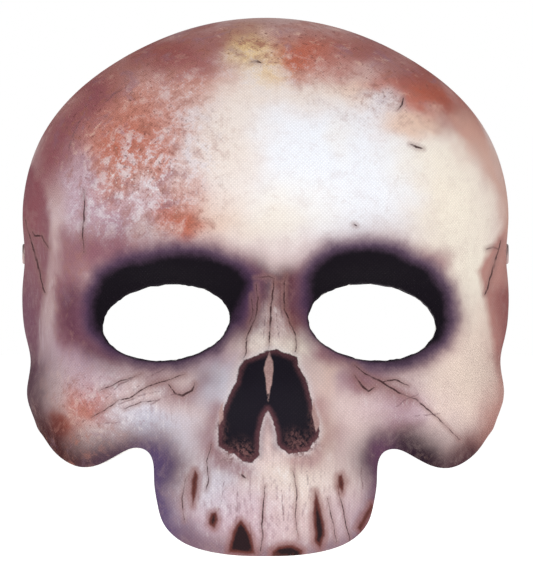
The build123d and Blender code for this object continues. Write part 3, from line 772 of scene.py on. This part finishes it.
band = bmesh.new()
uv = band.loops.layers.uv.new("weave")
half_w, half_t = strap_width / 2, strap_thick / 2
section = []
for step in range(13):
    v = -1 + 2 * step / 12
    thickness = half_t * (0.80 + 0.2 * math.exp(-(((abs(v) - 0.90) / 0.07) ** 2)))
    thickness *= math.sqrt(max(0.0, 1 - max(0.0, (abs(v) - 0.93) / 0.07) ** 2)) if abs(v) < 1 else 0.25
    section.append((thickness, v * half_w))
ring = section + [(-t, z) for t, z in reversed(section)]
previous = None
travelled = 0.0
last = stations[0][0]
for point, heading in stations:
    travelled += (point - last).length
    last = point
    normal = Vector((heading.y, -heading.x, 0))
    if previous is None:
        loop = [band.verts.new(point + normal * t + Vector((0, 0, z))) for t, z in ring]
        edges = [band.edges.new((loop[i], loop[(i + 1) % len(loop)])) for i in range(len(loop))]
        band.faces.new(loop)
    else:
        made = bmesh.ops.extrude_edge_only(band, edges=edges)["geom"]
        fresh = {v for v in made if isinstance(v, bmesh.types.BMVert)}
        pairs = {}
        for part in made:
            if isinstance(part, bmesh.types.BMFace):
                for e in part.edges:
                    ends = [v for v in e.verts if v in fresh]
                    if len(ends) == 1:
                        pairs[e.other_vert(ends[0])] = ends[0]
        loop = [pairs[v] for v in loop]
        for vert, (t, z) in zip(loop, ring):
            vert.co = point + normal * t + Vector((0, 0, z))
        edges = [band.edges.get((loop[i], loop[(i + 1) % len(loop)])) for i in range(len(loop))]
    for vert in loop:
        vert.index = 0
    previous = point
bmesh.ops.mirror(
    band, geom=band.verts[:] + band.edges[:] + band.faces[:], axis="X", merge_dist=0.02 * mm
)
bmesh.ops.remove_doubles(band, verts=band.verts, dist=0.02 * mm)
bmesh.ops.recalc_face_normals(band, faces=band.faces)
bmesh.ops.rotate(band, cent=(0, 0, 0), matrix=Matrix.Rotation(droop, 3, "X"), verts=band.verts)
bmesh.ops.translate(band, vec=(0, rivet_axis.y, rivet_axis.z), verts=band.verts)
strap = new_object("elastic_band", band)

strap_material, tree, shader = new_material("braided_elastic", 0.8)
where = add(tree, "ShaderNodeTexCoord").outputs["Object"]
rows = add(tree, "ShaderNodeSeparateXYZ", {0: where})
angle = calculate(tree, "ARCTAN2", rows.outputs[0], calculate(tree, "SUBTRACT", rows.outputs[1], rivet_axis.y - 60 * mm))
ribs = calculate(tree, "SINE", calculate(tree, "MULTIPLY", angle, 620.0))
cords = calculate(tree, "SINE", calculate(tree, "MULTIPLY", rows.outputs[2], 2 * math.pi / (1.1 * mm)))
braid = calculate(tree, "MULTIPLY_ADD", ribs, 0.5, calculate(tree, "MULTIPLY", cords, 0.5))
lint = mottle(tree, where, 0.5, 4, 0.7)
# The braid's raised ribs are painted lighter and its grooves darker: painted highlight and shade.
elastic = blend(tree, step_between(tree, braid, -0.8, 0.9), (0.010, 0.010, 0.011), (0.055, 0.055, 0.06))
elastic = blend(tree, calculate(tree, "MULTIPLY", step_between(tree, lint, 0.62, 0.75), 0.3), elastic, (0.20, 0.20, 0.21))
tree.links.new(elastic, shader.inputs["Base Color"])
shader.inputs["Sheen Weight"].default_value = 0.35
tree.links.new(bump(tree, braid, 0.12), shader.inputs["Normal"])
strap.data.materials.append(strap_material)
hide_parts("elastic_strap")
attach(strap, "strap")

# ---- Rivets and washers -------------------------------------------------------------------
# Tubular steel rivets, lacquered bone brown outside, with plain zinc washers under their rolled ends.
# Handling polishes the caps' rims, and the washers carry faint turning marks.


def metal_material(name, dark, bright, roughness):
    """Steel with rubbed edges and fine scratches."""
    material, tree, shader = new_material(name, roughness)
    where = add(tree, "ShaderNodeTexCoord").outputs["Object"]
    scratch = add(tree, "ShaderNodeMapping", {"Vector": where, "Scale": (1, 0.1, 1)}).outputs[0]
    marks = mottle(tree, scratch, 0.25, 5, 0.7)
    rubbed = mottle(tree, where, 1.4, 4, 0.6)
    edges = add(tree, "ShaderNodeNewGeometry").outputs["Pointiness"]
    share = calculate(tree, "ADD", step_between(tree, edges, 0.51, 0.58), step_between(tree, rubbed, 0.62, 0.8))
    tree.links.new(blend(tree, share, dark, bright), shader.inputs["Base Color"])
    tree.links.new(calculate(tree, "MULTIPLY_ADD", marks, 0.3, roughness - 0.15), shader.inputs["Roughness"])
    tree.links.new(bump(tree, marks, 0.01), shader.inputs["Normal"])
    shader.inputs["Metallic"].default_value = 1.0
    return material


cap_metal = metal_material("bone_lacquer", (0.42, 0.30, 0.29), (0.62, 0.50, 0.46), 0.5)
washer_metal = metal_material("zinc_plate", (0.52, 0.53, 0.55), (0.75, 0.75, 0.76), 0.32)
for side in ("left", "right"):
    frame["nodes"][f"{side}_rivet"].data.materials[0] = cap_metal
    frame["nodes"][f"{side}_rivet_washer"].data.materials[0] = washer_metal
